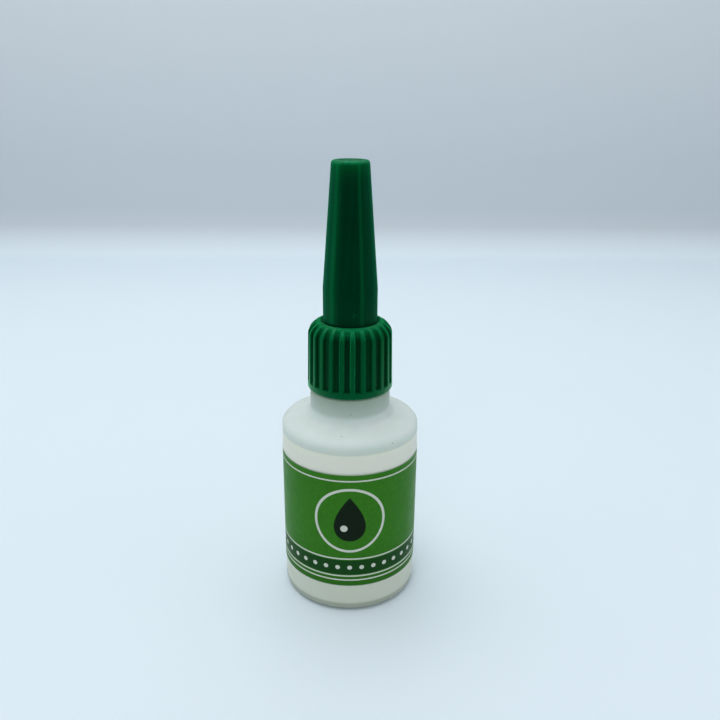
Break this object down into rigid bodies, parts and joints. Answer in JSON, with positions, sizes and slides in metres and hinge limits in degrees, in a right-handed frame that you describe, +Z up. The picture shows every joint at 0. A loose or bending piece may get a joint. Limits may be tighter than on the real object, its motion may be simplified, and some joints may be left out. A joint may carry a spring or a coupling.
{
  "type": "adhesive bottle",
  "caption": "Round translucent dropper bottle of liquid adhesive with a wrap label, a fluted domed screw collar and a tall tapered cap over its nozzle.",
  "frame": {"origin": "centre of the foot, on the surface that the bottle stands on", "axes": "+Z up along the axis of the bottle and its closure; the front of the label faces -Y and its seam +Y"},
  "size_m": [0.029, 0.029, 0.092],
  "materials": {
    "bottle_plastic": "translucent satin, natural polyethylene",
    "label_film": "semi-gloss printed film",
    "adhesive_liquid": "clear thin liquid",
    "nozzle_plastic": "satin, natural polyethylene",
    "collar_plastic": "moulded satin gloss",
    "cap_plastic": "moulded satin gloss"
  },
  "bodies": {
    "bottle": {"bottle": "bottle_plastic", "label": "label_film", "adhesive": "adhesive_liquid"},
    "nozzle": {"nozzle": "nozzle_plastic"},
    "collar": {"screw_collar": "collar_plastic"},
    "cap": {"nozzle_cap": "cap_plastic"}
  },
  "joints": [
    {"name": "closure_lift", "type": "slide", "parent": "bottle", "child": "nozzle", "axis": [0, 0, 1], "range_m": [0, 0.0075]},
    {"name": "collar_turn", "type": "hinge", "parent": "nozzle", "child": "collar", "pos_m": [0, 0, 0.0465], "axis": [0, 0, 1], "range_deg": [0, 900]},
    {"name": "cap_pull", "type": "slide", "parent": "nozzle", "child": "cap", "axis": [0, 0, 1], "range_m": [0, 0.034]}
  ],
  "couplings": [
    {"joint": "collar_turn", "follows": "closure_lift", "rad_per_m": 2094.4}
  ]
}
